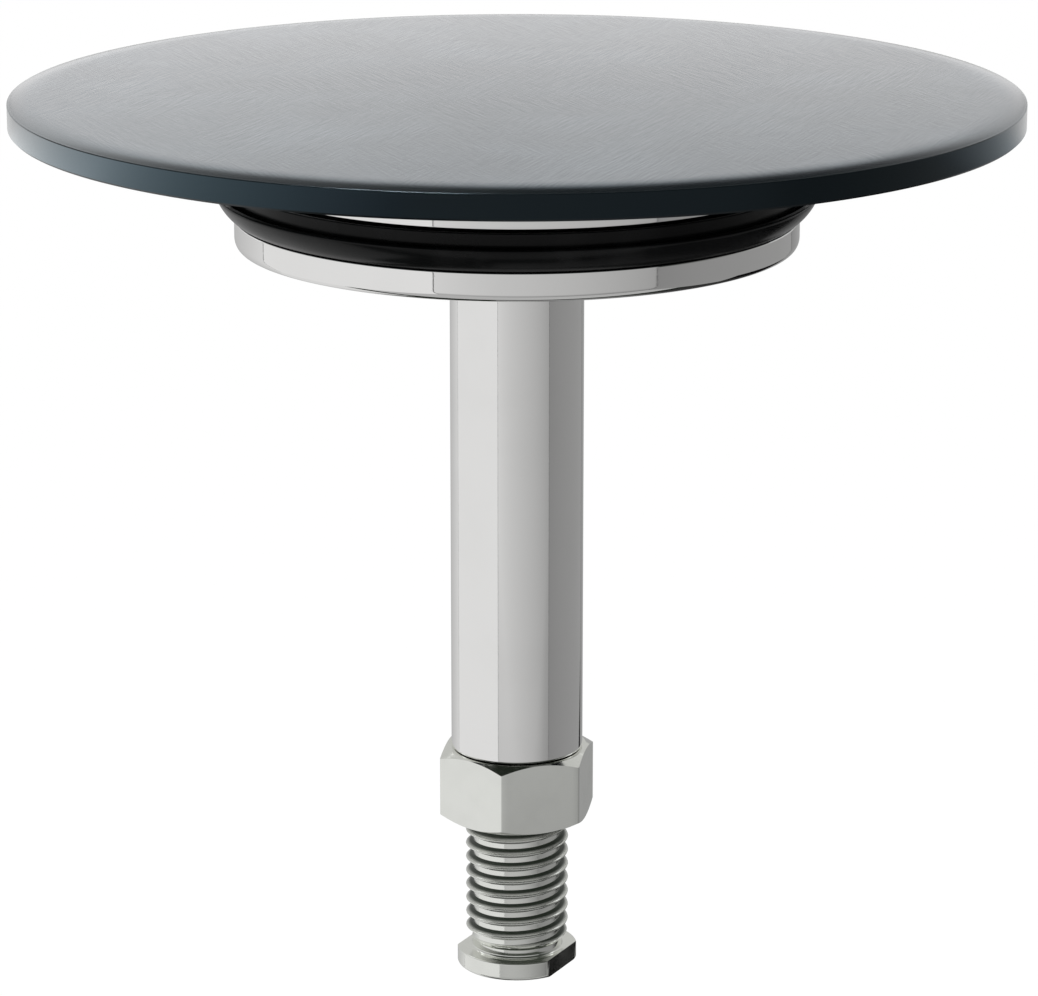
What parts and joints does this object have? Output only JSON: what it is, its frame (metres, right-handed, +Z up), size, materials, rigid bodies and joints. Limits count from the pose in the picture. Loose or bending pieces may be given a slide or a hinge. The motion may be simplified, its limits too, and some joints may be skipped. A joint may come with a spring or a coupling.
{
  "type": "bath drain stopper",
  "caption": "Pop-up bath drain stopper: round cover on a grooved hub with a flared rubber lip seal, and a stem whose adjusting screw and lock nut set the height of its foot.",
  "frame": {"origin": "on the stopper's axis, half way up the hub's lower ring, where the hub sits in the drain", "axes": "+Z up along the stem axis towards the cover, -Y towards the viewer of the picture, +X to the right"},
  "size_m": [0.072, 0.072, 0.066],
  "materials": {
    "cover": "dark slate coating with fine crossed brush marks",
    "polished": "polished chrome plate",
    "hardware": "bright plated steel",
    "seal": "smooth black rubber"
  },
  "bodies": {
    "stopper": {"cover_disc": "cover", "cover_stud": "hardware", "seal_hub": "polished", "lip_seal": "seal", "stem": "polished"},
    "lock_nut": {"lock_nut": "hardware"},
    "adjusting_screw": {"adjusting_screw": "hardware"}
  },
  "joints": [
    {"name": "screw_turn", "type": "hinge", "parent": "stopper", "child": "lock_nut", "pos_m": [0, 0, -0.039], "axis": [0, 0, 1], "range_deg": [-1800, 2880]},
    {"name": "screw_travel", "type": "slide", "parent": "lock_nut", "child": "adjusting_screw", "axis": [0, 0, 1], "range_m": [-0.0054, 0.00864]}
  ],
  "couplings": [
    {"joint": "screw_travel", "follows": "screw_turn", "m_per_rad": 0.00017189}
  ]
}
